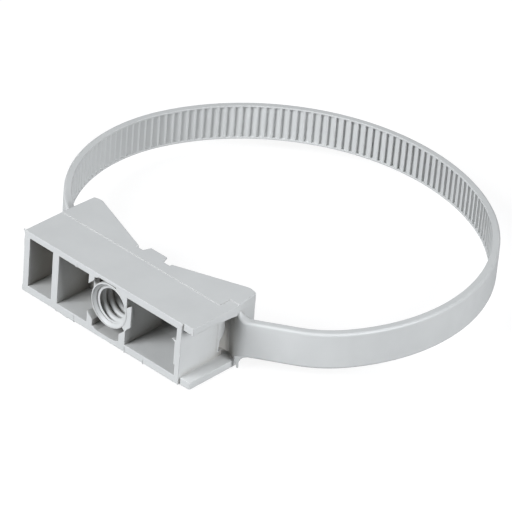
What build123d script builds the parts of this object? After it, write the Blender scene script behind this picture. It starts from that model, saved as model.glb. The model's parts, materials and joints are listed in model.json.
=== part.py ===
from build123d import *
from math import acos, cos, degrees, radians, sin, tan
import os

# Conduit clip, moulded in one piece: a fixing block with a toothed strap that closes through it.
# Sizes are in millimetres and turns in degrees. +X runs along the block, from the strap's entry to
# its root, +Y from the wall side towards the conduit and +Z along the conduit's axis.
# Depths are measured from the base face, the open face that goes against the wall, and heights from
# the block's middle plane. The last step moves the clip so that the thread's mouth is the origin.

# Block
block_height = 12.5
block_width = 40.0
plate_edge = 0.18
top_wall = 1.25
bottom_wall = 1.5
left_wall = 1.3
end_wall = 1.05
cell_depth = 7.7
first_cell_width = 5.65
divider = 1.5
left_boss_wall = 1.3
right_boss_wall = 1.45

# Overhanging plates at the right end
overhang = 2.35
overhang_plate = 1.45
overhang_setback = 0.35
overhang_depth = 11.4
overhang_corner = 0.4
rear_strip_depth = 8.9
rear_strip_step = 0.12

# Threaded boss, its pocket and the eight-sided recess round it
boss_rise = 0.4
thread_radius = 3.5
boss_radius = 4.25
boss_edge = 0.12
boss_recess = 0.75
counterbore_radius = 3.95
counterbore_depth = 0.75
boss_pocket_left = 3.0
boss_pocket_right = 3.4
boss_pocket_top = 5.5
boss_pocket_bottom = -5.3
pocket_corner_width = 1.15
pocket_corner_height = 0.5
relief_depth = 1.3
relief_flat = 5.08
relief_diagonal = 5.0
pad_reach = 6.0
pad_depth = 0.3
pad_top = 3.6
pad_slant = 0.85

# Saddle that the conduit lies in
parting_depth = 8.8
parting_inset = 2.13
parting_step = 0.1
lower_wing_setback = 1.1
lower_wing_depth = 11.85
saddle_floor_depth = 11.0
saddle_step = 0.5
saddle_half_floor = 3.95
saddle_slope = 20.5
left_wing_lean = 0.2
right_wing_lean = 0.55
left_wing_knee = 1.7
right_wing_knee = 2.3
wing_knee_drop = 0.45
wing_knee_radius = 2.2
wing_corner = 0.5
pocket_wall = 1.5
pocket_floor = 1.1
pocket_rib = 1.2

# Locking bar under the saddle's floor, and the plates' thin tabs over it
tab_half_tip = 1.9
tab_depth = 12.5
tab_thickness = 0.3
bar_half_width = 2.45
bar_tooth_height = 0.42
bar_tooth_gap = 0.05
bar_tooth_tip = 0.2
bar_tooth_foot = 1.0
bar_teeth = 3

# Strap
strap_width = 7.06
strap_thickness = 1.37
strap_edge = 0.45
root_reach = 0.55
root_depth = 10.57
root_corner_radius = 3.0
root_heading = 31.95
root_run = 10.15
root_bend_radius = 20.35
root_bend = 25.25
right_bend_radius = 35.8
right_bend = 96.85
far_bend = 98.3
left_bend = 81.0
tail_reach = 4.4
flare_start = 0.1
flare_radius = 2.2
gusset_reach = 7.0
gusset_overlap = 0.5

# Strap teeth
tooth_pitch = 1.5
tooth_depth = 0.5
tooth_crest = 0.32
tooth_gullet = 0.3
tooth_rim = 0.35
toothed_from = 42.0
plain_tip = 2.5

# Channel that the strap closes through
channel_front_depth = 9.0
channel_clearance = 0.15
mouth_depth = 11.4
exit_front_depth = 10.5
notch_depth = 9.6
notch_slant = 0.15
notch_top = -1.2
notch_bottom = -3.85

# Barb and strip on the end wall, inside the right cell
barb_reach = 1.1
barb_top = 2.25
barb_bottom = 1.55
barb_depth = 0.7
strip_reach = 0.3
strip_bottom = -2.6

# Places worked out from the sizes
beyond = 2.0
match = 0.01
half_height = block_height / 2
half_width = block_width / 2
cell_top = half_height - top_wall
cell_bottom = -half_height + bottom_wall
first_cell_left = -half_width + left_wall
first_cell_right = first_cell_left + first_cell_width
second_cell_left = first_cell_right + divider
second_cell_right = -boss_pocket_left - left_boss_wall
right_cell_left = boss_pocket_right + right_boss_wall
end_wall_face = half_width - overhang
end_wall_inside = end_wall_face - end_wall
overhang_inside = half_height - overhang_plate
thread_mouth_depth = boss_recess + counterbore_depth
root_x = half_width + root_reach
strap_front_depth = channel_front_depth + channel_clearance
strap_rear_depth = strap_front_depth + strap_thickness
channel_rear_depth = strap_rear_depth + channel_clearance
exit_rear_depth = exit_front_depth + strap_thickness + 2 * channel_clearance
closing_turn = 360 - root_heading - root_bend - right_bend - far_bend - left_bend
mouth_bend_radius = (mouth_depth - strap_front_depth) / (1 - cos(radians(closing_turn)))


def bend_shift(heading, turn):
    """Move made by a left bend of radius one that starts at a heading."""
    first, last = radians(heading), radians(heading + turn)
    return sin(last) - sin(first), cos(first) - cos(last)


def strap_course():
    """Runs and bends of the strap's outer face as (length, radius, turn), from root to tip.

    The far and left bends get the radii that bring the strap to the channel's mouth."""
    x = root_x + root_run * cos(radians(root_heading))
    y = root_depth + root_run * sin(radians(root_heading))
    heading = root_heading
    for radius, turn in ((root_bend_radius, root_bend), (right_bend_radius, right_bend)):
        shift_x, shift_y = bend_shift(heading, turn)
        x += radius * shift_x
        y += radius * shift_y
        heading += turn
    far_x, far_y = bend_shift(heading, far_bend)
    left_x, left_y = bend_shift(heading + far_bend, left_bend)
    gap_x, gap_y = -half_width - x, mouth_depth - y
    scale = far_x * left_y - far_y * left_x
    bends = [
        (root_bend_radius, root_bend),
        (right_bend_radius, right_bend),
        ((gap_x * left_y - gap_y * left_x) / scale, far_bend),
        ((far_x * gap_y - far_y * gap_x) / scale, left_bend),
        (mouth_bend_radius, closing_turn),
    ]
    tail_start = -half_width + mouth_bend_radius * sin(radians(closing_turn))
    course = [(root_run, 0, 0)]
    course += [(radius * radians(turn), radius, turn) for radius, turn in bends]
    course += [(tail_reach - tail_start, 0, 0)]
    return course


course = strap_course()
strap_length = sum(length for length, radius, turn in course)
tail_length = course[-1][0]
bend_end = strap_length - tail_length
bend_start = bend_end - course[-2][0]
band_start = gusset_reach - gusset_overlap


def place_on(distance, inset=0.0):
    """Point at a distance along the strap's outer face, set in towards the conduit by inset."""
    x, y, heading = root_x, root_depth, root_heading
    for place, (length, radius, turn) in enumerate(course):
        step = distance if place == len(course) - 1 else min(distance, length)
        shift_x, shift_y = cos(radians(heading)), sin(radians(heading))
        reach = step
        if turn:
            shift_x, shift_y = bend_shift(heading, turn * step / length)
            reach = radius
            heading += turn * step / length
        x += reach * shift_x
        y += reach * shift_y
        distance -= step
        if distance <= 0:
            break
    return x - inset * sin(radians(heading)), y + inset * cos(radians(heading))


def strap_side(inset):
    """Edges of the strap's face that lies inset from its outer face, from the gusset to the tip."""
    edges = []
    reached = band_start
    for place, (length, radius, turn) in enumerate(course):
        reach = sum(length for length, radius, turn in course[: place + 1])
        start, end = place_on(reached, inset), place_on(reach, inset)
        middle = place_on((reached + reach) / 2, inset)
        edges.append(ThreePointArc(start, middle, end) if turn else Line(start, end))
        reached = reach
    return edges


def slab(outline, bottom, top):
    """Upright solid over a plan outline given by its corners."""
    return extrude(Plane.XY.offset(bottom) * make_face(Polyline(*outline, close=True)), top - bottom)


def cell(left, right, front, back):
    """Cavity between the top and bottom walls."""
    return slab([(left, front), (right, front), (right, back), (left, back)], cell_bottom, cell_top)


def saddle_depth(x):
    """Depth of the saddle's sloping face at a distance from the middle."""
    return saddle_floor_depth + saddle_step + (x - saddle_half_floor) * tan(radians(saddle_slope))


def rear_wall_depth(x):
    """Depth of the right cell's rear wall, which leads the strap's end to its exit."""
    share = (x - right_cell_left) / (end_wall_face - right_cell_left)
    return channel_rear_depth + share * (exit_rear_depth - channel_rear_depth)


def wing(side, knee, lean):
    """Outline of one half of the conduit's side: tab, saddle floor, sloping face and wing end."""
    knee_x = half_width - knee
    knee_depth = saddle_depth(knee_x)
    corners = [
        (tab_half_tip, tab_depth),
        (bar_half_width, saddle_floor_depth),
        (saddle_half_floor, saddle_floor_depth),
        (saddle_half_floor, saddle_floor_depth + saddle_step),
        (knee_x, knee_depth),
        (half_width - lean, knee_depth - wing_knee_drop),
        (half_width, overhang_depth),
    ]
    return [(side * x, depth) for x, depth in corners]


def plate_outline():
    """Plan outline of the plates: straight base, leaning wing ends, V-shaped saddle and thin tab."""
    left = wing(-1, left_wing_knee, left_wing_lean)
    right = wing(1, right_wing_knee, right_wing_lean)
    corners = [(-half_width, 0), (end_wall_face, 0), (end_wall_face, overhang_setback)]
    corners += [(half_width, overhang_setback)] + right[::-1] + left
    outline = make_face(Polyline(*corners, close=True))
    for place, radius in ((4, wing_knee_radius), (5, wing_corner)):
        for corner in (left[place], right[place]):
            nearest = outline.vertices().sort_by_distance((*corner, 0))[0]
            outline = fillet(nearest, radius)
    return outline


def plates():
    """Block's full outline as a solid, with its rim rounded and the base a small step lower.

    The lower plate ends short behind the strap's root."""
    outline = plate_outline()
    end_corner = outline.vertices().sort_by_distance((half_width, overhang_setback, 0))[0]
    lower = fillet(end_corner, overhang_corner)
    solid = extrude(outline, half_height) + extrude(lower, -half_height)
    rim = solid.edges().group_by(Axis.Z)
    solid = fillet(rim[0] + rim[-1], plate_edge)
    side = half_width + beyond
    base = [
        (-side, -beyond),
        (side, -beyond),
        (side, overhang_depth),
        (half_width - parting_inset, overhang_depth),
        (half_width - parting_inset, parting_depth),
        (-side, parting_depth),
    ]
    solid -= slab(base, half_height - parting_step, half_height + beyond)
    solid -= slab(base, -half_height - beyond, -half_height + parting_step)
    short_end = [
        (half_width - lower_wing_setback, lower_wing_depth),
        (half_width + beyond, lower_wing_depth),
        (half_width + beyond, half_width),
        (half_width - lower_wing_setback, half_width),
    ]
    solid -= slab(short_end, -half_height - beyond, -overhang_inside)
    return solid


def channel():
    """Way for the strap's free end, from the left end and behind the cells to the right cell."""
    front_inset, rear_inset = -channel_clearance, strap_thickness + channel_clearance
    lead_in = bend_start - overhang - beyond
    middle = (bend_start + bend_end) / 2
    front = [place_on(distance, front_inset) for distance in (lead_in, bend_start, middle, bend_end)]
    rear = [place_on(distance, rear_inset) for distance in (lead_in, bend_start, middle, bend_end)]
    edges = [
        Line(front[0], front[1]),
        ThreePointArc(*front[1:]),
        Line(front[3], (right_cell_left, channel_front_depth)),
        Line((right_cell_left, channel_front_depth), (right_cell_left, channel_rear_depth)),
        Line((right_cell_left, channel_rear_depth), rear[3]),
        ThreePointArc(*rear[:0:-1]),
        Line(rear[1], rear[0]),
        Line(rear[0], front[0]),
    ]
    return extrude(Plane.XY.offset(cell_bottom) * make_face(edges), cell_top - cell_bottom)


def right_cell():
    """Cell that is open to the channel at its back and to the exit beside the end wall."""
    outline = [
        (right_cell_left, -beyond),
        (end_wall_inside, -beyond),
        (end_wall_inside, exit_front_depth),
        (end_wall_face + beyond, exit_front_depth),
        (end_wall_face + beyond, exit_rear_depth),
        (end_wall_face, exit_rear_depth),
        (right_cell_left, channel_rear_depth),
    ]
    return slab(outline, max(cell_bottom, -overhang_inside), min(cell_top, overhang_inside))


def exit_notch():
    """Step and notch in the end wall's rear edge, beside the exit."""
    strip = slab(
        [
            (end_wall_face - rear_strip_step, rear_strip_depth),
            (end_wall_face + beyond, rear_strip_depth),
            (end_wall_face + beyond, exit_front_depth + channel_clearance),
            (end_wall_face - rear_strip_step, exit_front_depth + channel_clearance),
        ],
        -overhang_inside,
        overhang_inside,
    )
    corners = [
        (notch_depth, notch_bottom),
        (notch_depth + notch_slant, notch_top),
        (exit_front_depth + channel_clearance, notch_top),
        (exit_front_depth + channel_clearance, notch_bottom),
    ]
    notch = Plane.YZ.offset(end_wall_inside - channel_clearance) * make_face(Polyline(*corners, close=True))
    return strip + extrude(notch, end_wall + 2 * channel_clearance)


def rounded_root(outline):
    """Solid over a plan outline, rounded where the ramp meets the strap."""
    plan = make_face(Polyline(*outline, close=True))
    corner = plan.vertices().sort_by_distance((root_x, root_depth, 0))[0]
    plan = fillet(corner, root_corner_radius)
    return extrude(Plane.XY.offset(-overhang_inside) * plan, 2 * overhang_inside)


def end_recess():
    """Gap between the overhanging plates, closed behind by the ramp to the strap's root."""
    past_end = place_on(2 * beyond)
    outline = [
        (end_wall_face, -beyond),
        (past_end[0], -beyond),
        past_end,
        (root_x, root_depth),
        (end_wall_face, exit_rear_depth),
    ]
    return rounded_root(outline)


def across(outline, front, back):
    """Solid over an upright outline of x and z corners, from one depth to another."""
    return extrude(Plane.XZ.offset(-front) * make_face(Polyline(*outline, close=True)), front - back)


def boss_pocket():
    """Space round the boss, with its four long edges bevelled."""
    bevel_left = -boss_pocket_left + pocket_corner_width
    bevel_right = boss_pocket_right - pocket_corner_width
    outline = [
        (-boss_pocket_left, boss_pocket_bottom + pocket_corner_height),
        (bevel_left, boss_pocket_bottom),
        (bevel_right, boss_pocket_bottom),
        (boss_pocket_right, boss_pocket_bottom + pocket_corner_height),
        (boss_pocket_right, boss_pocket_top - pocket_corner_height),
        (bevel_right, boss_pocket_top),
        (bevel_left, boss_pocket_top),
        (-boss_pocket_left, boss_pocket_top - pocket_corner_height),
    ]
    return across(outline, -beyond, cell_depth)


def boss_relief():
    """Eight-sided recess round the boss, in the front edges of the walls beside it."""
    corner = relief_diagonal * 2**0.5 - relief_flat
    half = [(relief_flat, corner), (corner, relief_flat), (-corner, relief_flat), (-relief_flat, corner)]
    outline = half + [(-x, -z) for x, z in half]
    return across([(x, z + boss_rise) for x, z in outline], -beyond, relief_depth)


def boss_pad():
    """Short rib on the right boss wall that backs the recess."""
    inside = right_cell_left - right_boss_wall / 2
    foot = boss_rise - relief_diagonal * 2**0.5
    outline = [
        (inside, pad_top - pad_slant),
        (right_cell_left, pad_top - pad_slant),
        (pad_reach, pad_top),
        (pad_reach, pad_reach + foot),
        (inside, inside + foot),
    ]
    return across(outline, 0, pad_depth)


def cell_barb():
    """Small barb on the end wall's inner face, with the thin strip below it."""
    inside = end_wall_inside + end_wall / 2
    barb = [(inside, barb_bottom), (inside, barb_top), (end_wall_inside - barb_reach, barb_top)]
    strip = [
        (inside, barb_top),
        (end_wall_inside - strip_reach, barb_top),
        (end_wall_inside - strip_reach, strip_bottom),
        (inside, strip_bottom),
    ]
    return across(barb, 0, barb_depth) + across(strip, 0, barb_depth)


def round_bar(radius, front, back):
    """Round solid on the thread's axis, from one depth to another."""
    return extrude(Plane.XZ.offset(-front) * Pos(0, boss_rise) * Circle(radius), front - back)


def boss():
    """Round boss that reaches back to the cells' rear wall."""
    solid = round_bar(boss_radius, boss_recess, cell_depth)
    return fillet(solid.edges().sort_by(Axis.Y)[0], boss_edge)


def bore():
    """Blind bore at the thread's outer radius, behind a wider mouth."""
    hole = round_bar(thread_radius, boss_recess, cell_depth)
    return hole + round_bar(counterbore_radius, boss_recess, thread_mouth_depth)


def saddle_pockets():
    """Cored spaces in the wings, two on each side of the saddle and open towards the conduit."""
    inner = saddle_half_floor + pocket_wall
    outer = half_width - right_wing_lean - pocket_wall
    middle = (inner + outer) / 2
    pockets = []
    rise = (mouth_depth - strap_front_depth) / (half_width - saddle_half_floor)
    left_depth = channel_rear_depth + pocket_floor
    for start, end in ((inner, middle - pocket_rib / 2), (middle + pocket_rib / 2, outer)):
        right_floor = [rear_wall_depth(x) + pocket_floor for x in (start, end)]
        left_floor = [left_depth + (x - saddle_half_floor) * rise for x in (start, end)]
        for side, floors in ((1, right_floor), (-1, left_floor)):
            outline = [
                (side * start, floors[0]),
                (side * end, floors[1]),
                (side * end, half_width),
                (side * start, half_width),
            ]
            pockets.append(slab(outline, -overhang_inside, overhang_inside))
    return pockets


def floor_window():
    """Opening in the saddle's floor on both sides of the locking bar, and the space under the tabs."""
    window = [(-saddle_half_floor, strap_rear_depth), (saddle_half_floor, strap_rear_depth)]
    window += [(saddle_half_floor, half_width), (-saddle_half_floor, half_width)]
    bar = [(-bar_half_width, channel_rear_depth), (bar_half_width, channel_rear_depth)]
    bar += [(bar_half_width, saddle_floor_depth), (-bar_half_width, saddle_floor_depth)]
    under_tab = [(-saddle_half_floor, saddle_floor_depth), (saddle_half_floor, saddle_floor_depth)]
    under_tab += [(saddle_half_floor, half_width), (-saddle_half_floor, half_width)]
    tab_inside = half_height - tab_thickness
    opening = slab(window, -overhang_inside, overhang_inside) - slab(bar, -half_height, half_height)
    return opening + slab(under_tab, -tab_inside, tab_inside)


def bar_tooth(x):
    """One tooth of the locking bar, with its steep face at x, looking into the strap's teeth."""
    steep = x - bar_tooth_gap
    tip_depth = channel_rear_depth - bar_tooth_height
    outline = [
        (steep, channel_rear_depth + channel_clearance),
        (steep, tip_depth),
        (steep - bar_tooth_tip, tip_depth),
        (steep - bar_tooth_foot, channel_rear_depth),
        (steep - bar_tooth_foot, channel_rear_depth + channel_clearance),
    ]
    half_tooth = strap_width / 2 - tooth_rim - channel_clearance
    return slab(outline, -half_tooth, half_tooth)


def block():
    """The fixing block without the strap."""
    solid = plates()
    solid -= cell(first_cell_left, first_cell_right, -beyond, cell_depth)
    solid -= cell(second_cell_left, second_cell_right, -beyond, cell_depth)
    solid -= boss_pocket()
    solid -= right_cell()
    solid -= end_recess()
    solid -= exit_notch()
    solid += boss_pad()
    solid += cell_barb()
    solid -= boss_relief()
    solid += boss()
    solid -= bore()
    solid -= channel()
    solid -= saddle_pockets()
    solid -= floor_window()
    solid += [bar_tooth((place - (bar_teeth - 1) / 2) * tooth_pitch) for place in range(bar_teeth)]
    return solid


def root_gusset():
    """Root of the strap between the plates, narrowed to the strap's width by two round flares."""
    rise = overhang_inside - strap_width / 2
    reach = (flare_radius**2 - (flare_radius - rise) ** 2) ** 0.5
    flare_x = half_width + flare_start
    middle_x = flare_x + reach
    outline = [
        (end_wall_face, exit_rear_depth),
        (root_x, root_depth),
        place_on(gusset_reach),
        place_on(gusset_reach, strap_thickness),
        place_on(0, strap_thickness),
        (end_wall_face, exit_rear_depth + strap_thickness),
    ]
    solid = rounded_root(outline)
    middle_z = strap_width / 2 + flare_radius
    sweep = degrees(acos((flare_radius - rise) / flare_radius))
    curve = CenterArc((middle_x, middle_z), flare_radius, 270 - sweep, sweep)
    far_x = middle_x + gusset_reach
    sides = [(far_x, strap_width / 2), (far_x, block_height), (flare_x, block_height)]
    rest = Polyline(curve @ 1, *sides, curve @ 0)
    flare = extrude(Plane.XZ.offset(-root_depth + beyond) * make_face([curve, rest]), -block_height)
    solid = solid - flare - mirror(flare, Plane.XY)
    outer = []
    for edge in solid.edges():
        middle = edge.position_at(0.5)
        along, inward = middle.X - root_x, middle.Y - root_depth
        inset = inward * cos(radians(root_heading)) - along * sin(radians(root_heading))
        if middle.X > flare_x and inset < strap_thickness / 4 and abs(middle.Z) > strap_edge:
            outer.append(edge)
    return fillet(outer, strap_edge)


def tooth_gap(distance):
    """Space between two strap teeth, which starts with a slope and ends at a steep face."""
    bottom, top = strap_thickness - tooth_depth, strap_thickness + tooth_depth
    corners = [
        (tooth_crest, top),
        (tooth_crest, strap_thickness),
        (tooth_pitch - tooth_gullet, bottom),
        (tooth_pitch, bottom),
        (tooth_pitch, top),
    ]
    outline = [place_on(distance + along, inset) for along, inset in corners]
    half_gap = strap_width / 2 - tooth_rim
    return slab(outline, -half_gap, half_gap)


def strap():
    """Strap with rounded outer edges, its root and the row of teeth inside the loop."""
    places = (band_start, strap_length)
    ends = [Line(place_on(distance), place_on(distance, strap_thickness)) for distance in places]
    plan = make_face(strap_side(0) + strap_side(strap_thickness) + ends)
    band = extrude(Plane.XY.offset(-strap_width / 2) * plan, strap_width)
    outer_middles = [edge.position_at(0.5) for edge in strap_side(0)]
    rounded = []
    for edge in band.edges():
        middle = edge.position_at(0.5)
        if any(abs(middle.X - m.X) + abs(middle.Y - m.Y) < match for m in outer_middles):
            rounded.append(edge)
    band = fillet(rounded, strap_edge)
    first = strap_length - tail_reach - tooth_pitch * ((bar_teeth - 1) / 2)
    gaps = []
    while first > toothed_from + tooth_pitch:
        first -= tooth_pitch
    while first < strap_length - plain_tip - tooth_pitch:
        gaps.append(tooth_gap(first))
        first += tooth_pitch
    return band - gaps + root_gusset()


clip = Pos(0, -thread_mouth_depth, -boss_rise) * (block() + strap())

os.makedirs("parts", exist_ok=True)
export_step(clip, "parts/clip_moulding.step")
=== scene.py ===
import json
from math import cos, pi, radians, sin

import bpy
from bpy.props import FloatProperty, FloatVectorProperty, IntProperty, PointerProperty
from mathutils import Matrix, Vector


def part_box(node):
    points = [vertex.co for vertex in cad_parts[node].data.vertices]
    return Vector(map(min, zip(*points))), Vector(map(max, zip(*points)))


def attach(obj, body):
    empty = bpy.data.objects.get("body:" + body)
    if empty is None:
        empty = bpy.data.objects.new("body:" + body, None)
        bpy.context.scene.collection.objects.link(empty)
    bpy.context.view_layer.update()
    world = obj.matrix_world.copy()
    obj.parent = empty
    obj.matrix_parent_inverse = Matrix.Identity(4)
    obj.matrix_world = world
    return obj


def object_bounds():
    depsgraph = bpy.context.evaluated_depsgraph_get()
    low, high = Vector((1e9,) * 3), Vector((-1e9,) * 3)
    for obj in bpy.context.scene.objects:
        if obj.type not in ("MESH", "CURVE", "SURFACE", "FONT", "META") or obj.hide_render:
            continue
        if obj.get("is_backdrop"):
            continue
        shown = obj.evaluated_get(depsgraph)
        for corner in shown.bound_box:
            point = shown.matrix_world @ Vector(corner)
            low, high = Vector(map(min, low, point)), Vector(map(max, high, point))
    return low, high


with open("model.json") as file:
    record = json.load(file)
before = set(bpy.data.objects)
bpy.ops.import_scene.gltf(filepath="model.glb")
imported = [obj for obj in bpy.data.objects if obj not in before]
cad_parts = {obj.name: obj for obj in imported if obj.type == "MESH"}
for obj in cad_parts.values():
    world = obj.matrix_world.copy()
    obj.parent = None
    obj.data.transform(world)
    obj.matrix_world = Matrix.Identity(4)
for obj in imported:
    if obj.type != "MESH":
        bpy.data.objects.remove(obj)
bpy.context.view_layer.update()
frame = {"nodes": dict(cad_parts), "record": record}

bl_info = {
    "name": "Conduit Clip Look",
    "version": (1, 0, 0),
    "blender": (4, 5, 0),
    "location": "3D View > Sidebar > Conduit Clip",
    "description": "Finishes a moulded conduit clip: its plastic, boss thread, moulding marks and studio",
    "category": "Object",
}

CLIP = "clip_moulding"
# Millimetres in a metre
PER_METRE = 1000
CLIP_LOW, CLIP_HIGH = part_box(CLIP)
THREAD_MOUNT = next(mount for mount in frame["record"]["mounts"] if mount["name"] == "fixing_thread")
BORE_RADIUS = THREAD_MOUNT["dims"]["r_mm"] / PER_METRE
BORE_LENGTH = THREAD_MOUNT["dims"]["length_mm"] / PER_METRE
MIDDLE_HEIGHT = (CLIP_LOW.z + CLIP_HIGH.z) / 2
FRONT_DEPTH = CLIP_LOW.y

# How far the lip reaches behind the thread's mouth, and how far the web stays behind the lip's front
HIDDEN = 0.00004
# Points across the thread ridge's curved top, and steps round the boss
PROFILE_POINTS = 13
RING_STEPS = 96
WEB_STEPS = 40
# Edges that turn by more than this stay sharp
RIDGE_ANGLE = radians(40)
RING_ANGLE = radians(30)

# For each kind of the plastic: whether only its own walls count for its painted shade, how open a place is
# where that painted shade ends, how much painted shade narrow gaps get, and how much of the painted edge
# highlight its edges show
PLASTICS = {
    "boss_plastic": {"alone": False, "clear": 0.3, "gap": 1.0, "highlight_share": 0.1},
    "flash_plastic": {"alone": True, "clear": 0.1, "gap": 0.0, "highlight_share": 0.0},
    "grey_plastic": {"alone": True, "clear": 0.76, "gap": 0.0, "highlight_share": 0.6},
}
# Noise where the plastic's clouds begin and where they are full
CLOUD_START, CLOUD_FULL = 0.38, 0.66
# Radius of a speck's core and of its faded rim, in the space each speck has, and how strong the core is
SPECK_CORE, SPECK_RIM, SPECK_STRENGTH = 0.012, 0.03, 0.8
# Noise where the skin is shiniest and dullest, and what each adds to its roughness
SHINY_NOISE, DULL_NOISE = 0.3, 0.7
SHINY_ROUGHNESS, DULL_ROUGHNESS = -0.05, 0.07
# How open a place is where its painted shade is darkest, as a share of how open it is where the painted shade
# ends
SHUT_SHARE = 0.45
# How open a narrow gap is where its painted shade is darkest and where that painted shade ends
CREVICE_SHUT, CREVICE_CLEAR = 0.1, 0.4
# Cosine of the turn from the true normal to the softened one, beside an edge and on a fully highlighted one,
# for the painted edge highlight
FLAT_TURN, EDGE_TURN = 0.98, 0.8
# How far a ray goes along the sky's way where the surroundings are dimmest and brightest
DIM_WAY, BRIGHT_WAY = -0.5, 0.7

# The strap root's front face starts at this corner, in millimetres across and behind, and heads off at an
# angle to the block's front face
ROOT_CORNER = (20.55, 10.57)
ROOT_HEADING = radians(31.95)

# Each flake's plane, where the plane lies, the flake's thickness and its outline, in the block's millimetres.
# An outline's points are (across, above) for front, (behind, above) for end and (along, above) for root
FLAKES = {
    "corner_flash": ("front", 0.1, 0.16, [
        (-19.7, 6.2), (-20.4, 6.2), (-20.5, 5.95), (-20.18, 5.7), (-20.1, 4.8), (-20.22, 4.2), (-20.17, 3.0),
        (-20.02, 2.3), (-20.0, 0.2), (-20.12, -0.7), (-20.1, -2.0), (-20.02, -3.0), (-20.06, -4.4),
        (-20.2, -5.2), (-20.32, -5.8), (-20.24, -6.2), (-19.7, -6.2),
    ]),
    "rim_flash_left": ("front", 0.02, 0.16, [
        (-12.1, -6.1), (-11.95, -6.33), (-11.6, -6.38), (-11.3, -6.28), (-10.9, -6.27), (-10.3, -6.3),
        (-9.8, -6.4), (-9.3, -6.45), (-8.9, -6.42), (-8.6, -6.3), (-8.3, -6.32), (-7.6, -6.3), (-7.2, -6.35),
        (-7.0, -6.1),
    ]),
    "rim_flash_top": ("front", -0.05, 0.16, [
        (-7.8, 5.6), (-7.6, 5.8), (-7.3, 5.75), (-7.15, 5.5), (-7.15, 5.1), (-7.3, 4.88), (-7.55, 4.83),
        (-7.75, 5.1),
    ]),
    "pocket_flash": ("front", 0.03, 0.16, [
        (1.6, -5.4), (1.95, -5.18), (2.3, -5.24), (2.6, -5.1), (2.95, -5.2), (3.25, -5.0), (3.45, -5.4),
    ]),
    "root_fin": ("root", 0.02, 0.3, [
        (-0.05, -3.6), (-0.05, -4.15), (0.16, -4.73), (0.4, -5.6), (0.51, -5.89), (0.76, -5.84), (0.8, -5.42),
        (0.74, -5.02), (0.84, -4.48), (1.06, -4.02), (1.47, -3.63), (2.14, -3.39), (3.0, -3.4), (3.0, -3.1),
    ]),
    "exit_lip": ("end", 17.25, 0.3, [
        (10.2, 3.9), (10.66, 3.5), (10.72, 2.6), (10.86, 1.7), (10.96, 0.9), (10.98, 0.2), (10.84, -0.5),
        (10.6, -1.0), (10.3, -1.3), (9.98, -1.5), (9.86, -1.9), (9.84, -2.5), (9.72, -3.1), (9.66, -3.9),
        (9.4, -3.9), (9.4, 3.9),
    ]),
    "overhang_taper": ("end", 17.6, 2.38, [
        (0.4, 4.9), (0.4, 4.76), (3.2, 4.62), (6.8, 4.5), (9.3, 4.33), (11.35, 4.05), (11.35, 4.9),
    ]),
}

# Top and bottom of the raised lines on the lower rim, as (across, above) in the block's millimetres
LINES = {
    "rim_line_left": ((-7.5, -5.1), (-7.3, -6.2)),
    "rim_line_middle": ((4.83, -4.98), (4.92, -6.2)),
    "rim_line_right": ((9.28, -5.05), (9.36, -6.2)),
}


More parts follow.
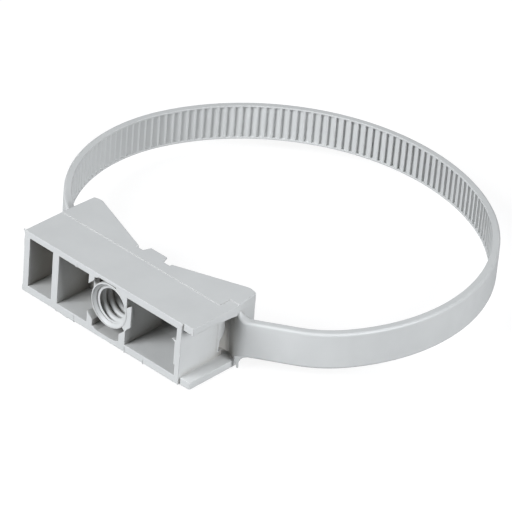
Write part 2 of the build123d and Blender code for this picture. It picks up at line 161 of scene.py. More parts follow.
class PlasticSettings(bpy.types.PropertyGroup):
    colour: FloatVectorProperty(
        name="Colour", description="Grey of the moulded plastic", subtype="COLOR", size=3,
        min=0, max=1, default=(0.53, 0.535, 0.527),
    )
    cloud_colour: FloatVectorProperty(
        name="Cloud Colour", description="Grey where the plastic flowed and cooled unevenly", subtype="COLOR",
        size=3, min=0, max=1, default=(0.505, 0.51, 0.503),
    )
    # Painted highlight: this paler grey stands in for light on the moulding's rounded edges
    edge_highlight_colour: FloatVectorProperty(
        name="Edge Highlight Colour", description="Paler grey that rubbed edges show", subtype="COLOR", size=3,
        min=0, max=1, default=(0.66, 0.66, 0.645),
    )
    # Painted shade: this warm grey stands in for the shade in deep corners, the strap's slot and narrow gaps
    painted_shade_colour: FloatVectorProperty(
        name="Painted Shade Colour", description="Warm grey in deep corners", subtype="COLOR", size=3,
        min=0, max=1, default=(0.3, 0.288, 0.266),
    )
    # How far walls reach to lay painted shade beside them
    painted_shade_reach: FloatProperty(
        name="Deep Reach", description="How far a wall darkens the plastic beside it", subtype="DISTANCE",
        unit="LENGTH", default=0.007,
    )
    # How far a narrow gap's sides reach to lay painted shade on each other
    crevice_shade_reach: FloatProperty(
        name="Crevice Reach", description="How far a narrow gap's sides darken each other",
        subtype="DISTANCE", unit="LENGTH", default=0.0014,
    )
    joint_depth: FloatProperty(
        name="Joint Depth", description="Where the mould's halves met", subtype="DISTANCE", unit="LENGTH",
        default=0.0073,
    )
    # The joint's pale line is a painted highlight where the mould's step catches the light
    joint_width: FloatProperty(
        name="Joint Width", description="Width of the joint's pale line", subtype="DISTANCE", unit="LENGTH",
        default=0.0002,
    )
    # Near the joint no painted edge highlight is laid
    joint_clear: FloatProperty(
        name="Joint Clear", description="How far from the joint no edge is rubbed", subtype="DISTANCE",
        unit="LENGTH", default=0.0004,
    )
    joint_end: FloatProperty(
        name="Joint End", description="Where the joint of the mould's halves turns off", subtype="DISTANCE",
        unit="LENGTH", default=0.0163,
    )
    # How much of the painted highlight colour the joint's line shows
    joint_highlight_share: FloatProperty(
        name="Joint Share", description="How much of the edge colour the joint shows", default=0.05,
    )
    # The cells, the strap's slot and the cells' lower plate are places for painted shade, set by where they
    # lie
    cell_floor: FloatProperty(
        name="Cell Floor", description="How far back the cells reach", subtype="DISTANCE", unit="LENGTH",
        default=0.0066,
    )
    cell_end: FloatProperty(
        name="Cell End", description="Where the cells end on the right", subtype="DISTANCE", unit="LENGTH",
        default=0.0174,
    )
    slot_left: FloatProperty(
        name="Slot Left", description="Where the dark of the strap's slot begins on the left",
        subtype="DISTANCE", unit="LENGTH", default=0.0146,
    )
    slot_front: FloatProperty(
        name="Slot Front", description="How far back the dark of the strap's slot begins", subtype="DISTANCE",
        unit="LENGTH", default=0.0096,
    )
    slot_floor: FloatProperty(
        name="Slot Floor", description="How far back the strap's slot reaches", subtype="DISTANCE",
        unit="LENGTH", default=0.0116,
    )
    slot_half: FloatProperty(
        name="Slot Half", description="Half the height of the strap's slot", subtype="DISTANCE",
        unit="LENGTH", default=0.0055,
    )
    # Least share of painted shadow in the strap's slot
    slot_shade_share: FloatProperty(
        name="Slot Share", description="How much of the deep colour the strap's slot shows at least",
        default=0.85,
    )
    # Share of the walls' painted shade that the cells' lower plate shows
    floor_shade_share: FloatProperty(
        name="Floor Share", description="How much of the walls' darkness the cells' lower plate shows",
        default=0.3,
    )
    speck_colour: FloatVectorProperty(
        name="Speck Colour", description="Dark specks in the plastic", subtype="COLOR", size=3,
        min=0, max=1, default=(0.12, 0.115, 0.11),
    )
    cloud_scale: FloatProperty(name="Cloud Scale", description="Clouds in each metre", default=160)
    speck_scale: FloatProperty(
        name="Speck Scale", description="Places for a speck in each metre", default=110,
    )
    speckless: FloatProperty(
        name="Speckless", description="Share of those places that hold no speck", min=0, max=1,
        default=0.55,
    )
    grain_size: FloatProperty(
        name="Grain Size", description="Size of the mould's fine texture", subtype="DISTANCE", unit="LENGTH",
        default=0.00035,
    )
    grain_height: FloatProperty(
        name="Grain Height", description="Height of the mould's fine texture", subtype="DISTANCE",
        unit="LENGTH", default=0.00002,
    )
    grain_strength: FloatProperty(
        name="Grain Strength", description="How strongly the fine texture shows", min=0, max=1, default=0.25,
    )
    roughness: FloatProperty(
        name="Roughness", description="Roughness of the plastic's skin", min=0, max=1, default=0.42,
    )
    # Also sets how wide the painted edge highlight is
    edge_radius: FloatProperty(
        name="Edge Radius", description="Softness of the moulding's edges", subtype="DISTANCE", unit="LENGTH",
        default=0.00016,
    )


class ThreadSettings(bpy.types.PropertyGroup):
    pitch: FloatProperty(
        name="Pitch", description="Distance from one turn to the next", subtype="DISTANCE", unit="LENGTH",
        default=0.0015,
    )
    depth: FloatProperty(
        name="Depth", description="Height of the ridge above the bore's wall", subtype="DISTANCE",
        unit="LENGTH", default=0.0006,
    )
    width: FloatProperty(
        name="Width", description="Width of the ridge at the bore's wall", subtype="DISTANCE", unit="LENGTH",
        default=0.0014,
    )
    gap: FloatProperty(
        name="Gap", description="Bare bore left at each end of the ridge", subtype="DISTANCE", unit="LENGTH",
        default=0.00004,
    )
    start: FloatProperty(
        name="Start", description="Where on the bore's mouth the ridge begins", subtype="ANGLE",
        default=radians(334),
    )
    steps: IntProperty(name="Steps", description="Steps in each turn", min=24, max=160, default=72)


class LipSettings(bpy.types.PropertyGroup):
    outer: FloatProperty(
        name="Outer Radius", description="Of the sloping face inside the boss's rim", subtype="DISTANCE",
        unit="LENGTH", default=0.0040,
    )
    front: FloatProperty(
        name="Front", description="How far the sloping face stands out from the thread's mouth",
        subtype="DISTANCE", unit="LENGTH", default=0.0007,
    )
    foot: FloatProperty(
        name="Foot", description="Height of the sloping face's inner end over the thread's mouth",
        subtype="DISTANCE", unit="LENGTH", default=0.0002,
    )
    web_inner: FloatProperty(
        name="Web Inner Radius", description="Inner radius of the web that joins the boss to its pocket",
        subtype="DISTANCE", unit="LENGTH", default=0.00415,
    )
    web_radius: FloatProperty(
        name="Web Radius", description="Outer radius of the web that joins the boss to its pocket",
        subtype="DISTANCE", unit="LENGTH", default=0.0052,
    )
    web_start: FloatProperty(
        name="Web Start", description="Where the web begins, going clockwise", subtype="ANGLE",
        default=radians(72),
    )
    web_sweep: FloatProperty(
        name="Web Sweep", description="How far round the boss the web reaches", subtype="ANGLE",
        default=radians(112),
    )


class FlashSettings(bpy.types.PropertyGroup):
    softness: FloatProperty(
        name="Softness", description="Rounding of the flakes' edges", subtype="DISTANCE", unit="LENGTH",
        default=0.00004,
    )
    line_width: FloatProperty(
        name="Line Width", description="Of the raised lines left by the mould's joints", subtype="DISTANCE",
        unit="LENGTH", default=0.00016,
    )
    line_height: FloatProperty(
        name="Line Height", description="How far those lines stand out", subtype="DISTANCE", unit="LENGTH",
        default=0.00006,
    )


class StudioSettings(bpy.types.PropertyGroup):
    azimuth: FloatProperty(
        name="Azimuth", description="Camera's turn round the clip", subtype="ANGLE", default=radians(40.683),
    )
    elevation: FloatProperty(
        name="Elevation", description="Camera's height above the horizon", subtype="ANGLE",
        default=radians(33.056),
    )
    roll: FloatProperty(name="Roll", description="Camera's tilt", subtype="ANGLE", default=radians(4.97))
    distance: FloatProperty(
        name="Distance", description="From the camera to its aim", subtype="DISTANCE", unit="LENGTH",
        default=0.67031,
    )
    aim: FloatVectorProperty(
        name="Aim", description="Point that the camera looks at, from the clip's middle height",
        subtype="TRANSLATION", unit="LENGTH", size=3, default=(0.005245, 0.030165, 0.0),
    )
    lens: FloatProperty(name="Lens", description="Focal length in millimetres", default=271.08)
    floor_colour: FloatVectorProperty(
        name="Floor Colour", description="Pale floor", subtype="COLOR", size=3, min=0, max=1,
        default=(0.16, 0.16, 0.16),
    )
    floor_size: FloatProperty(
        name="Floor Size", description="Side of the floor", subtype="DISTANCE", unit="LENGTH", default=6,
    )
    floor_glow: FloatProperty(
        name="Floor Glow", description="White that the camera alone sees the floor give", default=0.88,
    )
    bounce_colour: FloatVectorProperty(
        name="Bounce Colour", description="Grey of the floor as the clip sees it", subtype="COLOR", size=3,
        min=0, max=1, default=(0.35, 0.35, 0.35),
    )
    lamp_colour: FloatVectorProperty(
        name="Lamp Colour", description="Cool white of both lamps", subtype="COLOR", size=3, min=0, max=1,
        default=(0.94, 0.965, 1.0),
    )
    lamp_distance: FloatProperty(
        name="Lamp Distance", description="From the clip to each lamp", subtype="DISTANCE", unit="LENGTH",
        default=0.9,
    )
    key_turn: FloatProperty(
        name="Key Turn", description="Main lamp's turn round the clip", subtype="ANGLE", default=radians(-20),
    )
    key_rise: FloatProperty(
        name="Key Rise", description="Main lamp's height above the horizon", subtype="ANGLE",
        default=radians(30),
    )
    key_size: FloatProperty(
        name="Key Size", description="Side of the main lamp", subtype="DISTANCE", unit="LENGTH", default=0.5,
    )
    key_power: FloatProperty(name="Key Power", description="Power of the main lamp in watts", default=11.8)
    fill_turn: FloatProperty(
        name="Fill Turn", description="Fill lamp's turn round the clip", subtype="ANGLE", default=radians(97),
    )
    fill_rise: FloatProperty(
        name="Fill Rise", description="Fill lamp's height above the horizon", subtype="ANGLE",
        default=radians(27),
    )
    fill_size: FloatProperty(
        name="Fill Size", description="Side of the fill lamp", subtype="DISTANCE", unit="LENGTH", default=0.5,
    )
    fill_power: FloatProperty(name="Fill Power", description="Power of the fill lamp in watts", default=9.1)
    sky_colour: FloatVectorProperty(
        name="Sky Colour", description="Warm white of the surroundings", subtype="COLOR", size=3,
        min=0, max=1, default=(1.0, 0.985, 0.96),
    )
    sky_way: FloatVectorProperty(
        name="Sky Way", description="Where the surroundings are brightest", subtype="XYZ", size=3,
        default=(-0.5, 0.5, 0.7),
    )
    sky_strength: FloatProperty(
        name="Sky Strength", description="Brightness of the surroundings behind and above the clip",
        default=0.05,
    )
    dim_strength: FloatProperty(
        name="Dim Strength", description="Brightness of the surroundings on the camera's side", default=0.02,
    )


def new_group(name, inputs, outputs):
    """Shader node group whose inputs and outputs are given as socket types by name."""
    group = bpy.data.node_groups.new(name, "ShaderNodeTree")
    for way, sockets in (("INPUT", inputs), ("OUTPUT", outputs)):
        for label, kind in sockets.items():
            group.interface.new_socket(name=label, in_out=way, socket_type=kind)
    return group


def add_node(tree, kind, **settings):
    """Node with its settings and, under inputs, its socket values or links."""
    node = tree.nodes.new(kind)
    inputs = settings.pop("inputs", {})
    for key, value in settings.items():
        setattr(node, key, value)
    for key, value in inputs.items():
        if isinstance(value, bpy.types.NodeSocket):
            tree.links.new(value, node.inputs[key])
        else:
            node.inputs[key].default_value = value
    return node


def math_node(tree, operation, first, second, third=0.5):
    """Output of a Math node."""
    return add_node(
        tree, "ShaderNodeMath", operation=operation, inputs={0: first, 1: second, 2: third},
    ).outputs["Value"]


def between(tree, value, low, high):
    """Output that is 1 where the value lies between low and high, and 0 elsewhere."""
    return math_node(tree, "COMPARE", value, (low + high) / 2, (high - low) / 2)


def map_range(tree, value, **limits):
    """Output of a Map Range node, whose limits are given as from_min, from_max, to_min and to_max."""
    inputs = {name.replace("_", " ").title(): limit for name, limit in limits.items()}
    return add_node(tree, "ShaderNodeMapRange", inputs={"Value": value, **inputs}).outputs["Result"]


def mix_colour(tree, share, first, second):
    """Output that goes from the first colour to the second as share goes from 0 to 1."""
    mix = add_node(tree, "ShaderNodeMix", data_type="RGBA")
    for key, value in {"Factor_Float": share, "A_Color": first, "B_Color": second}.items():
        socket = next(item for item in mix.inputs if item.identifier == key)
        if isinstance(value, bpy.types.NodeSocket):
            tree.links.new(value, socket)
        else:
            socket.default_value = value
    return next(item for item in mix.outputs if item.identifier == "Result_Color")


def mix_by_ray(tree, felt, seen, output):
    """Gives the camera's rays the seen shader and all other rays the felt one."""
    rays = add_node(tree, "ShaderNodeLightPath").outputs["Is Camera Ray"]
    mix = add_node(tree, "ShaderNodeMixShader", inputs={0: rays, 1: felt, 2: seen})
    tree.links.new(mix.outputs["Shader"], tree.nodes[output].inputs["Surface"])


def moulded_skin_group():
    """Cloudy colour, dark specks, painted shade in deep places, fine grain and uneven shine of a moulded
    skin.
    """
    colour, number = "NodeSocketColor", "NodeSocketFloat"
    group = new_group(
        "moulded_skin",
        {
            "Colour": colour, "Cloud Colour": colour, "Painted Shade Colour": colour, "Speck Colour": colour,
            "Depth": number, "Cloud Scale": number, "Speck Scale": number, "Speckless": number,
            "Grain Scale": number, "Roughness": number,
        },
        {"Colour": colour, "Roughness": number, "Height": number},
    )
    entry = add_node(group, "NodeGroupInput").outputs
    place = add_node(group, "ShaderNodeTexCoord").outputs["Object"]
    clouds = add_node(
        group, "ShaderNodeTexNoise", inputs={"Vector": place, "Scale": entry["Cloud Scale"], "Detail": 4.0},
    ).outputs["Fac"]
    cloudy = map_range(group, clouds, from_min=CLOUD_START, from_max=CLOUD_FULL)
    clouded = mix_colour(group, cloudy, entry["Colour"], entry["Cloud Colour"])
    dots = add_node(
        group, "ShaderNodeTexVoronoi", inputs={"Vector": place, "Scale": entry["Speck Scale"]},
    ).outputs
    chance = add_node(group, "ShaderNodeSeparateColor", inputs={"Color": dots["Color"]}).outputs["Red"]
    held = math_node(group, "GREATER_THAN", chance, entry["Speckless"])
    close = map_range(
        group, dots["Distance"], from_min=SPECK_CORE, from_max=SPECK_RIM, to_min=SPECK_STRENGTH, to_max=0.0,
    )
    specks = math_node(group, "MULTIPLY", held, close)
    specked = mix_colour(group, specks, clouded, entry["Speck Colour"])
    # Painted shade: the Depth mask mixes in the warm grey that stands for shade in deep places
    shade_painted = mix_colour(group, entry["Depth"], specked, entry["Painted Shade Colour"])
    grain = add_node(
        group, "ShaderNodeTexNoise", inputs={"Vector": place, "Scale": entry["Grain Scale"], "Detail": 2.0},
    ).outputs["Fac"]
    shine = map_range(
        group, clouds, from_min=SHINY_NOISE, from_max=DULL_NOISE,
        to_min=SHINY_ROUGHNESS, to_max=DULL_ROUGHNESS,
    )
    rough = math_node(group, "ADD", entry["Roughness"], shine)
    leave = add_node(group, "NodeGroupOutput")
    group.links.new(shade_painted, leave.inputs["Colour"])
    group.links.new(rough, leave.inputs["Roughness"])
    group.links.new(grain, leave.inputs["Height"])
    return group


def closeness(tree, reach, alone, shut, clear):
    """Mask that goes from 0 to 1 as the walls within reach close in, and how open the place is."""
    opening = add_node(
        tree, "ShaderNodeAmbientOcclusion", samples=8, only_local=alone, inputs={"Distance": reach},
    ).outputs["AO"]
    return map_range(tree, opening, from_min=shut, from_max=clear, to_min=1.0, to_max=0.0), opening


def painted_shade_mask(tree, settings, place, normal, alone, clear, gap):
    """How much painted shade each place shows, in the cells, the strap's slot and narrow gaps, and how open
    it is.
    """
    enclosed, opening = closeness(tree, settings.painted_shade_reach, alone, clear * SHUT_SHARE, clear)
    crevice, _ = closeness(tree, settings.crevice_shade_reach, False, CREVICE_SHUT, CREVICE_CLEAR)
    # Painted shade falls on upright walls; faces turned up only get it in the cells, as a share
    facing = add_node(tree, "ShaderNodeSeparateXYZ", inputs={"Vector": normal}).outputs["Z"]
    upright = map_range(tree, facing, to_min=1.0, to_max=0.0)
    before_slot_floor = math_node(tree, "LESS_THAN", place["Y"], settings.slot_floor)
    walls = math_node(tree, "MULTIPLY", upright, before_slot_floor)
    before_cell_floor = math_node(tree, "LESS_THAN", place["Y"], settings.cell_floor)
    before_cell_end = math_node(tree, "LESS_THAN", place["X"], settings.cell_end)
    in_cells = math_node(tree, "MULTIPLY", before_cell_floor, before_cell_end)
    floors = math_node(tree, "MULTIPLY", in_cells, settings.floor_shade_share)
    wall_shade = math_node(tree, "MULTIPLY", enclosed, math_node(tree, "MAXIMUM", walls, floors))
    # Painted shadow in the strap's slot, at least a share of the painted shade colour
    across = between(tree, place["X"], settings.slot_left, settings.cell_end)
    behind = between(tree, place["Y"], settings.slot_front, settings.slot_floor)
    low, high = MIDDLE_HEIGHT - settings.slot_half, MIDDLE_HEIGHT + settings.slot_half
    in_slot = math_node(tree, "MULTIPLY", across, behind)
    in_slot = math_node(tree, "MULTIPLY", in_slot, between(tree, place["Z"], low, high))
    slot = math_node(tree, "MULTIPLY", in_slot, settings.slot_shade_share)
    # Painted shade in narrow gaps, such as between the thread's turns
    narrow = math_node(tree, "MULTIPLY", crevice, gap)
    return math_node(tree, "MAXIMUM", math_node(tree, "MAXIMUM", wall_shade, slot), narrow), opening


def edge_highlight_mask(tree, settings, place, normal, soft_normal, opening, highlight_share):
    """How much painted highlight each place shows on its edges and along the mould's joint."""
    turned = add_node(
        tree, "ShaderNodeVectorMath", operation="DOT_PRODUCT", inputs={0: soft_normal, 1: normal},
    ).outputs["Value"]
    # Painted highlight on edges, where the softened normal turns away from the true one
    edge = map_range(tree, turned, from_min=FLAT_TURN, from_max=EDGE_TURN, to_max=highlight_share)
    by_joint = math_node(tree, "COMPARE", place["Y"], settings.joint_depth, settings.joint_clear)
    bare = math_node(tree, "MULTIPLY", opening, math_node(tree, "SUBTRACT", 1.0, by_joint))
    highlighted = math_node(tree, "MULTIPLY", edge, bare)
    # Pale painted line along the mould's joint, a painted highlight for its lit step
    on_joint = math_node(tree, "COMPARE", place["Y"], settings.joint_depth, settings.joint_width / 2)
    before_end = math_node(tree, "LESS_THAN", place["X"], settings.joint_end)
    joint = math_node(tree, "MULTIPLY", on_joint, before_end)
    return math_node(tree, "MAXIMUM", highlighted, math_node(tree, "MULTIPLY", joint, settings.joint_highlight_share))


def grey_plastic(name, settings, skin_group, alone, clear, gap, highlight_share):
    """Matte grey plastic as it comes from the mould, with painted shade in its depths and a painted highlight
    on its edges.
    """
    material = bpy.data.materials.new(name)
    material.use_nodes = True
    tree = material.node_tree
    shader = tree.nodes["Principled BSDF"]
    normal = add_node(tree, "ShaderNodeNewGeometry").outputs["Normal"]
    soft_normal = add_node(
        tree, "ShaderNodeBevel", samples=6, inputs={"Radius": settings.edge_radius},
    ).outputs["Normal"]
    here = add_node(tree, "ShaderNodeTexCoord").outputs["Object"]
    place = add_node(tree, "ShaderNodeSeparateXYZ", inputs={"Vector": here}).outputs
    depth, opening = painted_shade_mask(tree, settings, place, normal, alone, clear, gap)
    skin = add_node(
        tree, "ShaderNodeGroup", node_tree=skin_group,
        inputs={
            "Colour": (*settings.colour, 1),
            "Cloud Colour": (*settings.cloud_colour, 1),
            "Cloud Scale": settings.cloud_scale,
            "Painted Shade Colour": (*settings.painted_shade_colour, 1),
            "Depth": depth,
            "Speck Colour": (*settings.speck_colour, 1),
            "Speck Scale": settings.speck_scale,
            "Speckless": settings.speckless,
            "Grain Scale": 1 / settings.grain_size,
            "Roughness": settings.roughness,
        },
    ).outputs
    edge_highlight = edge_highlight_mask(tree, settings, place, normal, soft_normal, opening, highlight_share)
    # Paints the highlight on edges and along the joint
    colour = mix_colour(tree, edge_highlight, skin["Colour"], (*settings.edge_highlight_colour, 1))
    bump = add_node(
        tree, "ShaderNodeBump",
        inputs={
            "Strength": settings.grain_strength, "Distance": settings.grain_height,
            "Height": skin["Height"], "Normal": soft_normal,
        },
    )
    tree.links.new(colour, shader.inputs["Base Color"])
    tree.links.new(skin["Roughness"], shader.inputs["Roughness"])
    tree.links.new(bump.outputs["Normal"], shader.inputs["Normal"])
    return material


def finish_piece(piece, name, material):
    """Names a new piece, gives it its plastic and lets it ride on the clip."""
    piece.name = name
    piece.data.name = name
    piece.data.materials.clear()
    piece.data.materials.append(bpy.data.materials[material])
    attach(piece, "root")


def deselect_all():
    """Leaves nothing selected, so that the next piece is the only one."""
    for item in bpy.context.selected_objects:
        item.select_set(False)


def way_to(turn, rise):
    """Direction to something turned round the clip from its front and raised above the horizon."""
    return Vector((sin(turn) * cos(rise), -cos(turn) * cos(rise), sin(rise)))


class CLIP_OT_plastic(bpy.types.Operator):
    """Give the moulding its grey plastic"""

    bl_idname = "conduit_clip.plastic"
    bl_label = "Plastic"

    def execute(self, context):
        settings = context.scene.clip_plastic
        skin_group = moulded_skin_group()
        plastics = {}
        for name, look in PLASTICS.items():
            plastics[name] = grey_plastic(name, settings, skin_group, **look)
        moulding = frame["nodes"][CLIP]
        moulding.data.materials.clear()
        # The frame has a plain material called grey_plastic, so the new one isn't looked up by its name
        moulding.data.materials.append(plastics["grey_plastic"])
        return {"FINISHED"}


class CLIP_OT_thread(bpy.types.Operator):
    """Add the coarse thread's ridge inside the boss"""

    bl_idname = "conduit_clip.thread"
    bl_label = "Boss Thread"

    def execute(self, context):
        thread = context.scene.clip_thread
        mouth, floor = thread.gap, BORE_LENGTH - thread.gap
        # The ridge begins wholly before the mouth and ends wholly past the floor, and is trimmed to the bore
        turns = (floor - mouth + thread.width) / thread.pitch
        deselect_all()
        bpy.ops.mesh.primitive_circle_add(vertices=PROFILE_POINTS + 2, fill_type="NOTHING")
        ridge = context.object
        for number, point in enumerate(ridge.data.vertices):
            share = number / (PROFILE_POINTS - 1) * 2 - 1
            rise = thread.depth * (1 - share * share)
            point.co = (BORE_RADIUS - rise, mouth + thread.width * (share - 1) / 2, 0)
        # Two more points close the profile inside the bore's wall
        for point, share in zip(ridge.data.vertices[-2:], (1, -1)):
            point.co = (BORE_RADIUS + thread.depth, mouth + thread.width * (share - 1) / 2, 0)
        screw = ridge.modifiers.new("turns", "SCREW")
        screw.axis = "Y"
        screw.angle = 2 * pi * turns
        screw.screw_offset = thread.pitch * turns
        screw.steps = screw.render_steps = round(turns * thread.steps)
        screw.use_merge_vertices = False
        bpy.ops.object.modifier_apply(modifier="turns")
        bpy.ops.object.mode_set(mode="EDIT")
        bpy.ops.mesh.select_all(action="SELECT")
        bpy.ops.transform.rotate(value=thread.start, orient_axis="Y", center_override=(0, 0, 0))
        bpy.ops.mesh.select_all(action="DESELECT")
        bpy.ops.mesh.select_non_manifold(extend=False)
        bpy.ops.mesh.edge_face_add()
        bpy.ops.mesh.select_all(action="SELECT")
        bpy.ops.mesh.normals_make_consistent(inside=False)
        bpy.ops.object.mode_set(mode="OBJECT")
        deselect_all()
        bpy.ops.mesh.primitive_cylinder_add(
            vertices=RING_STEPS, radius=BORE_RADIUS + thread.depth / 2, depth=floor - mouth,
            location=(0, (mouth + floor) / 2, 0), rotation=(pi / 2, 0, 0),
        )
        bore = context.object
        trim = ridge.modifiers.new("trim", "BOOLEAN")
        trim.operation = "INTERSECT"
        trim.object = bore
        context.view_layer.objects.active = ridge
        bpy.ops.object.modifier_apply(modifier="trim")
        bpy.data.objects.remove(bore)
        bpy.ops.object.shade_smooth_by_angle(angle=RIDGE_ANGLE)
        finish_piece(ridge, "thread_ridge", "boss_plastic")
        return {"FINISHED"}


def spin_profile(corners, sweep, steps):
    """Closed shape that a flat outline of (radius, depth) corners sweeps round the bore's axis."""
    deselect_all()
    bpy.ops.mesh.primitive_circle_add(vertices=len(corners), fill_type="NOTHING")
    piece = bpy.context.object
    for point, (radius, depth) in zip(piece.data.vertices, corners):
        point.co = (radius, depth, 0)
    spin = piece.modifiers.new("spin", "SCREW")
    spin.axis = "Y"
    spin.angle = sweep
    spin.screw_offset = 0
    spin.steps = spin.render_steps = steps
    spin.use_merge_vertices = True
    spin.merge_threshold = 0.000001
    bpy.ops.object.modifier_apply(modifier="spin")
    bpy.ops.object.mode_set(mode="EDIT")
    bpy.ops.mesh.select_all(action="DESELECT")
    bpy.ops.mesh.select_non_manifold(extend=False)
    bpy.ops.mesh.edge_face_add()
    bpy.ops.mesh.select_all(action="SELECT")
    bpy.ops.mesh.normals_make_consistent(inside=False)
    bpy.ops.object.mode_set(mode="OBJECT")
    bpy.ops.object.shade_smooth_by_angle(angle=RING_ANGLE)
    return piece


class CLIP_OT_lip(bpy.types.Operator):
    """Add the sloping lip in front of the thread and the web beside the boss"""

    bl_idname = "conduit_clip.lip"
    bl_label = "Boss Lip"

    def execute(self, context):
        lip = context.scene.clip_lip
        face = [
            (lip.outer, -lip.front), (BORE_RADIUS, -lip.foot), (BORE_RADIUS, HIDDEN), (lip.outer, HIDDEN),
        ]
        ring = spin_profile(face, 2 * pi, RING_STEPS)
        finish_piece(ring, "boss_lip", "boss_plastic")
        block = [
            (lip.web_inner, HIDDEN - lip.front), (lip.web_radius, HIDDEN - lip.front),
            (lip.web_radius, lip.foot), (lip.web_inner, lip.foot),
        ]
        web = spin_profile(block, lip.web_sweep, WEB_STEPS)
        bpy.ops.object.mode_set(mode="EDIT")
        bpy.ops.mesh.select_all(action="SELECT")
        bpy.ops.transform.rotate(value=lip.web_start, orient_axis="Y", center_override=(0, 0, 0))
        bpy.ops.object.mode_set(mode="OBJECT")
        finish_piece(web, "boss_web", "boss_plastic")
        return {"FINISHED"}


def in_block(x, depth, z):
    """Point in metres from millimetres across, behind and above the middle of the block's front face."""
    return Vector((x / PER_METRE, FRONT_DEPTH + depth / PER_METRE, MIDDLE_HEIGHT + z / PER_METRE))


def on_root(along, z):
    """Point in metres from millimetres along the strap root's front face and above its middle."""
    across, behind = ROOT_CORNER
    return in_block(across + along * cos(ROOT_HEADING), behind + along * sin(ROOT_HEADING), z)


def add_flake(name, corners, push, softness):
    """Thin piece with the given flat outline, pushed to its thickness and softened."""
    deselect_all()
    bpy.ops.mesh.primitive_circle_add(vertices=len(corners), fill_type="NGON")
    flake = bpy.context.object
    for point, place in zip(flake.data.vertices, corners):
        point.co = place
    bpy.ops.object.mode_set(mode="EDIT")
    bpy.ops.mesh.select_all(action="SELECT")
    bpy.ops.mesh.extrude_region_move(TRANSFORM_OT_translate={"value": push})
    bpy.ops.mesh.select_all(action="SELECT")
    bpy.ops.mesh.normals_make_consistent(inside=False)
    bpy.ops.object.mode_set(mode="OBJECT")
    soft = flake.modifiers.new("soft", "BEVEL")
    soft.width = softness
    soft.segments = 2
    bpy.ops.object.modifier_apply(modifier="soft")
    finish_piece(flake, name, "flash_plastic")


class CLIP_OT_flash(bpy.types.Operator):
    """Add the thin plastic squeezed out at the mould's joints and the taper under the overhang"""

    bl_idname = "conduit_clip.flash"
    bl_label = "Flash"

    def execute(self, context):
        flash = context.scene.clip_flash
        for name, (plane, start, thickness, outline) in FLAKES.items():
            if plane == "front":
                corners = [in_block(x, start, z) for x, z in outline]
                push = Vector((0, 1, 0))
            elif plane == "end":
                corners = [in_block(start, depth, z) for depth, z in outline]
                push = Vector((1, 0, 0))
            else:
                push = Vector((-sin(ROOT_HEADING), cos(ROOT_HEADING), 0))
                corners = [on_root(along, z) + start / PER_METRE * push for along, z in outline]
            add_flake(name, corners, thickness / PER_METRE * push, flash.softness)
        return {"FINISHED"}


class CLIP_OT_lines(bpy.types.Operator):
    """Add the raised lines that the mould's joints leave on the front rim"""

    bl_idname = "conduit_clip.lines"
    bl_label = "Joint Lines"

    def execute(self, context):
        flash = context.scene.clip_flash
        half = flash.line_width / 2 * PER_METRE
        for name, ((top_x, top), (bottom_x, bottom)) in LINES.items():
            outline = [
                (top_x - half, top), (top_x + half, top), (bottom_x + half, bottom),
                (bottom_x, bottom - 2 * half), (bottom_x - half, bottom),
            ]
            corners = [in_block(x, -flash.line_height * PER_METRE, z) for x, z in outline]
            add_flake(name, corners, Vector((0, 2 * flash.line_height, 0)), flash.softness / 2)
        return {"FINISHED"}


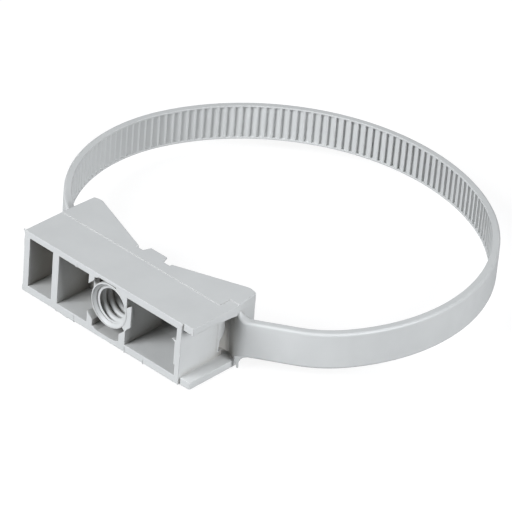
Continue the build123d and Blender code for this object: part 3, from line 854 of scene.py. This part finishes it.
class CLIP_OT_studio(bpy.types.Operator):
    """Set up the pale floor, the lamps and the camera"""

    bl_idname = "conduit_clip.studio"
    bl_label = "Studio"

    def execute(self, context):
        studio = context.scene.clip_studio
        self.add_floor(studio)
        self.add_surroundings(context, studio)
        self.add_lamp(studio, "key", studio.key_turn, studio.key_rise, studio.key_size, studio.key_power)
        self.add_lamp(studio, "fill", studio.fill_turn, studio.fill_rise, studio.fill_size, studio.fill_power)
        self.add_camera(context, studio)
        context.scene.view_settings.view_transform = "Standard"
        return {"FINISHED"}

    def add_floor(self, studio):
        """Floor that is nearly white to the camera and grey to the clip."""
        deselect_all()
        bpy.ops.mesh.primitive_plane_add(size=studio.floor_size, location=(0, 0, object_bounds()[0].z))
        floor = bpy.context.object
        floor.name = "floor"
        material = bpy.data.materials.new("pale_floor")
        material.use_nodes = True
        tree = material.node_tree
        shader = tree.nodes["Principled BSDF"]
        shader.inputs["Base Color"].default_value = (*studio.floor_colour, 1)
        shader.inputs["Roughness"].default_value = 0.9
        shader.inputs["Specular IOR Level"].default_value = 0.1
        glow = add_node(
            tree, "ShaderNodeEmission", inputs={"Color": (1, 1, 1, 1), "Strength": studio.floor_glow},
        ).outputs["Emission"]
        seen = add_node(tree, "ShaderNodeAddShader", inputs={0: shader.outputs["BSDF"], 1: glow})
        bounce = add_node(tree, "ShaderNodeBsdfDiffuse", inputs={"Color": (*studio.bounce_colour, 1)})
        mix_by_ray(tree, bounce.outputs["BSDF"], seen.outputs["Shader"], "Material Output")
        floor.data.materials.append(material)
        floor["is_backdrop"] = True

    def add_surroundings(self, context, studio):
        """Surroundings that are white to the camera and mostly dim to the clip."""
        world = bpy.data.worlds.new("studio")
        context.scene.world = world
        world.use_nodes = True
        tree = world.node_tree
        lit = tree.nodes["Background"]
        lit.inputs["Color"].default_value = (*studio.sky_colour, 1)
        way = add_node(tree, "ShaderNodeTexCoord").outputs["Generated"]
        side = add_node(
            tree, "ShaderNodeVectorMath", operation="DOT_PRODUCT", inputs={0: way, 1: studio.sky_way},
        ).outputs["Value"]
        strength = map_range(
            tree, side, from_min=DIM_WAY, from_max=BRIGHT_WAY,
            to_min=studio.dim_strength, to_max=studio.sky_strength,
        )
        tree.links.new(strength, lit.inputs["Strength"])
        seen = add_node(tree, "ShaderNodeBackground", inputs={"Color": (1, 1, 1, 1), "Strength": 1.0})
        mix_by_ray(tree, lit.outputs["Background"], seen.outputs["Background"], "World Output")

    def add_lamp(self, studio, name, turn, rise, size, power):
        """Square lamp that shines on the clip's middle."""
        middle = (CLIP_LOW + CLIP_HIGH) / 2
        way = way_to(turn, rise)
        bpy.ops.object.light_add(type="AREA", location=middle + studio.lamp_distance * way)
        lamp = bpy.context.object
        lamp.name = name
        lamp.data.energy = power
        lamp.data.size = size
        lamp.data.color = studio.lamp_colour
        lamp.rotation_euler = way.to_track_quat("Z", "Y").to_euler()

    def add_camera(self, context, studio):
        """Camera that looks at the clip as the photograph does."""
        turn, tilt = studio.azimuth, studio.roll
        back = way_to(turn, studio.elevation)
        level = Vector((cos(turn), sin(turn), 0))
        above = back.cross(level)
        right = cos(tilt) * level + sin(tilt) * above
        up = cos(tilt) * above - sin(tilt) * level
        bpy.ops.object.camera_add()
        camera = context.object
        camera.name = "photo_camera"
        aim = Vector(studio.aim) + Vector((0, 0, MIDDLE_HEIGHT))
        place = Matrix((right, up, back)).transposed().to_4x4()
        place.translation = aim + studio.distance * back
        camera.matrix_world = place
        camera.data.lens = studio.lens
        camera.data.sensor_width = 36
        camera.data.clip_start = 0.05
        context.scene.camera = camera


class CLIP_PT_look(bpy.types.Panel):
    """Lists the steps of the clip's look"""

    bl_idname = "CLIP_PT_look"
    bl_label = "Conduit Clip"
    bl_space_type = "VIEW_3D"
    bl_region_type = "UI"
    bl_category = "Conduit Clip"

    def draw(self, context):
        for operator in STEPS:
            self.layout.operator(operator.bl_idname)


SETTINGS = {
    "clip_plastic": PlasticSettings,
    "clip_thread": ThreadSettings,
    "clip_lip": LipSettings,
    "clip_flash": FlashSettings,
    "clip_studio": StudioSettings,
}
STEPS = (CLIP_OT_plastic, CLIP_OT_thread, CLIP_OT_lip, CLIP_OT_flash, CLIP_OT_lines, CLIP_OT_studio)
CLASSES = (*SETTINGS.values(), *STEPS, CLIP_PT_look)


def register():
    for item in CLASSES:
        bpy.utils.register_class(item)
    for name, group in SETTINGS.items():
        setattr(bpy.types.Scene, name, PointerProperty(type=group))


def unregister():
    for name in SETTINGS:
        delattr(bpy.types.Scene, name)
    for item in reversed(CLASSES):
        bpy.utils.unregister_class(item)


def main():
    register()
    bpy.ops.conduit_clip.plastic()
    bpy.ops.conduit_clip.thread()
    bpy.ops.conduit_clip.lip()
    bpy.ops.conduit_clip.flash()
    bpy.ops.conduit_clip.lines()
    bpy.ops.conduit_clip.studio()


if __name__ == "__main__":
    main()
